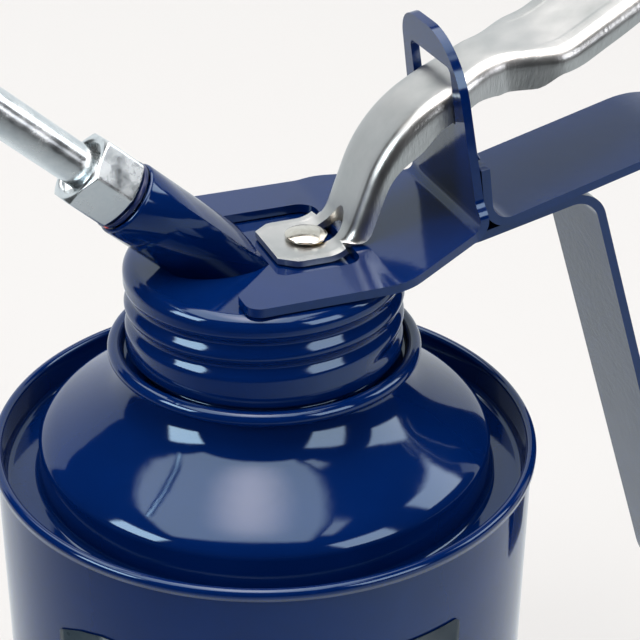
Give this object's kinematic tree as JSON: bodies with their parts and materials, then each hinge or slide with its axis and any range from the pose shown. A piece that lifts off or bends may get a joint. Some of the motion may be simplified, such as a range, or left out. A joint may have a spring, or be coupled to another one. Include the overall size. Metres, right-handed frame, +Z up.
{
  "type": "pump oil can",
  "caption": "Pump oil can: pressed can with a screw cap that carries a spout, a strip handle and a thumb lever working a pull-up piston pump with a foot valve.",
  "frame": {"origin": "centre of the can's base, on the plane it stands on", "axes": "+Z up along the can's axis, -X toward the spout, +X toward the handle"},
  "size_m": [0.2276, 0.09, 0.2175],
  "materials": {
    "blue_enamel": "gloss stoved enamel",
    "silver_sticker": "bare grey-silver sticker, slightly worn",
    "black_rubber": "matt",
    "red_fibre": "matt",
    "bright_zinc": "bright plated",
    "brass": "turned",
    "packing_felt": "matt",
    "bare_steel": "drawn wire",
    "satin_nickel": "satin plated",
    "bright_nickel": "bright plated",
    "cup_leather": "oiled"
  },
  "bodies": {
    "can": {"can_body": "blue_enamel", "shoulder": "blue_enamel", "label": "silver_sticker"},
    "seal": {"cap_gasket": "black_rubber"},
    "cap_set": {"cap": "blue_enamel", "spout_boss": "blue_enamel", "nut_washer": "red_fibre", "spout_nut": "bright_zinc", "spout_tube": "bright_zinc", "bracket": "blue_enamel", "handle_loop": "blue_enamel", "leg_weld": "blue_enamel", "gland_bush": "brass", "gland_packing": "packing_felt", "pump_barrel": "brass", "delivery_tube": "brass", "foot_valve_body": "brass", "ball_stop": "brass", "suction_tube": "brass", "inlet_strainer": "brass", "pump_spring": "bare_steel"},
    "lever": {"thumb_lever": "satin_nickel"},
    "pump_rod": {"plunger_rod": "bright_nickel", "piston": "brass", "piston_cup": "cup_leather", "piston_nut": "brass"},
    "valve_ball": {"foot_ball": "bare_steel"}
  },
  "joints": [
    {"name": "cap_rise", "type": "slide", "parent": "can", "child": "seal", "axis": [0, 0, 1], "range_m": [0, 0.00888]},
    {"name": "cap_turn", "type": "hinge", "parent": "seal", "child": "cap_set", "pos_m": [0, 0, 0.1], "axis": [0, 0, 1], "range_deg": [0, 810]},
    {"name": "lever_press", "type": "hinge", "parent": "cap_set", "child": "lever", "pos_m": [0.02974, 0, 0.1414], "axis": [0, 1, 0], "range_deg": [0, 8], "stiffness_Nm_per_rad": 4, "springref_deg": -2.86},
    {"name": "rod_stroke", "type": "slide", "parent": "cap_set", "child": "pump_rod", "axis": [0, 0, 1], "range_m": [0, 0.0044], "deforming": ["pump_spring"]},
    {"name": "ball_lift", "type": "slide", "parent": "cap_set", "child": "valve_ball", "axis": [0, 0, 1], "range_m": [0, 0.0012]}
  ],
  "couplings": [
    {"joint": "cap_turn", "follows": "cap_rise", "rad_per_m": 1590.7},
    {"joint": "rod_stroke", "follows": "lever_press", "m_per_rad": 0.031}
  ]
}
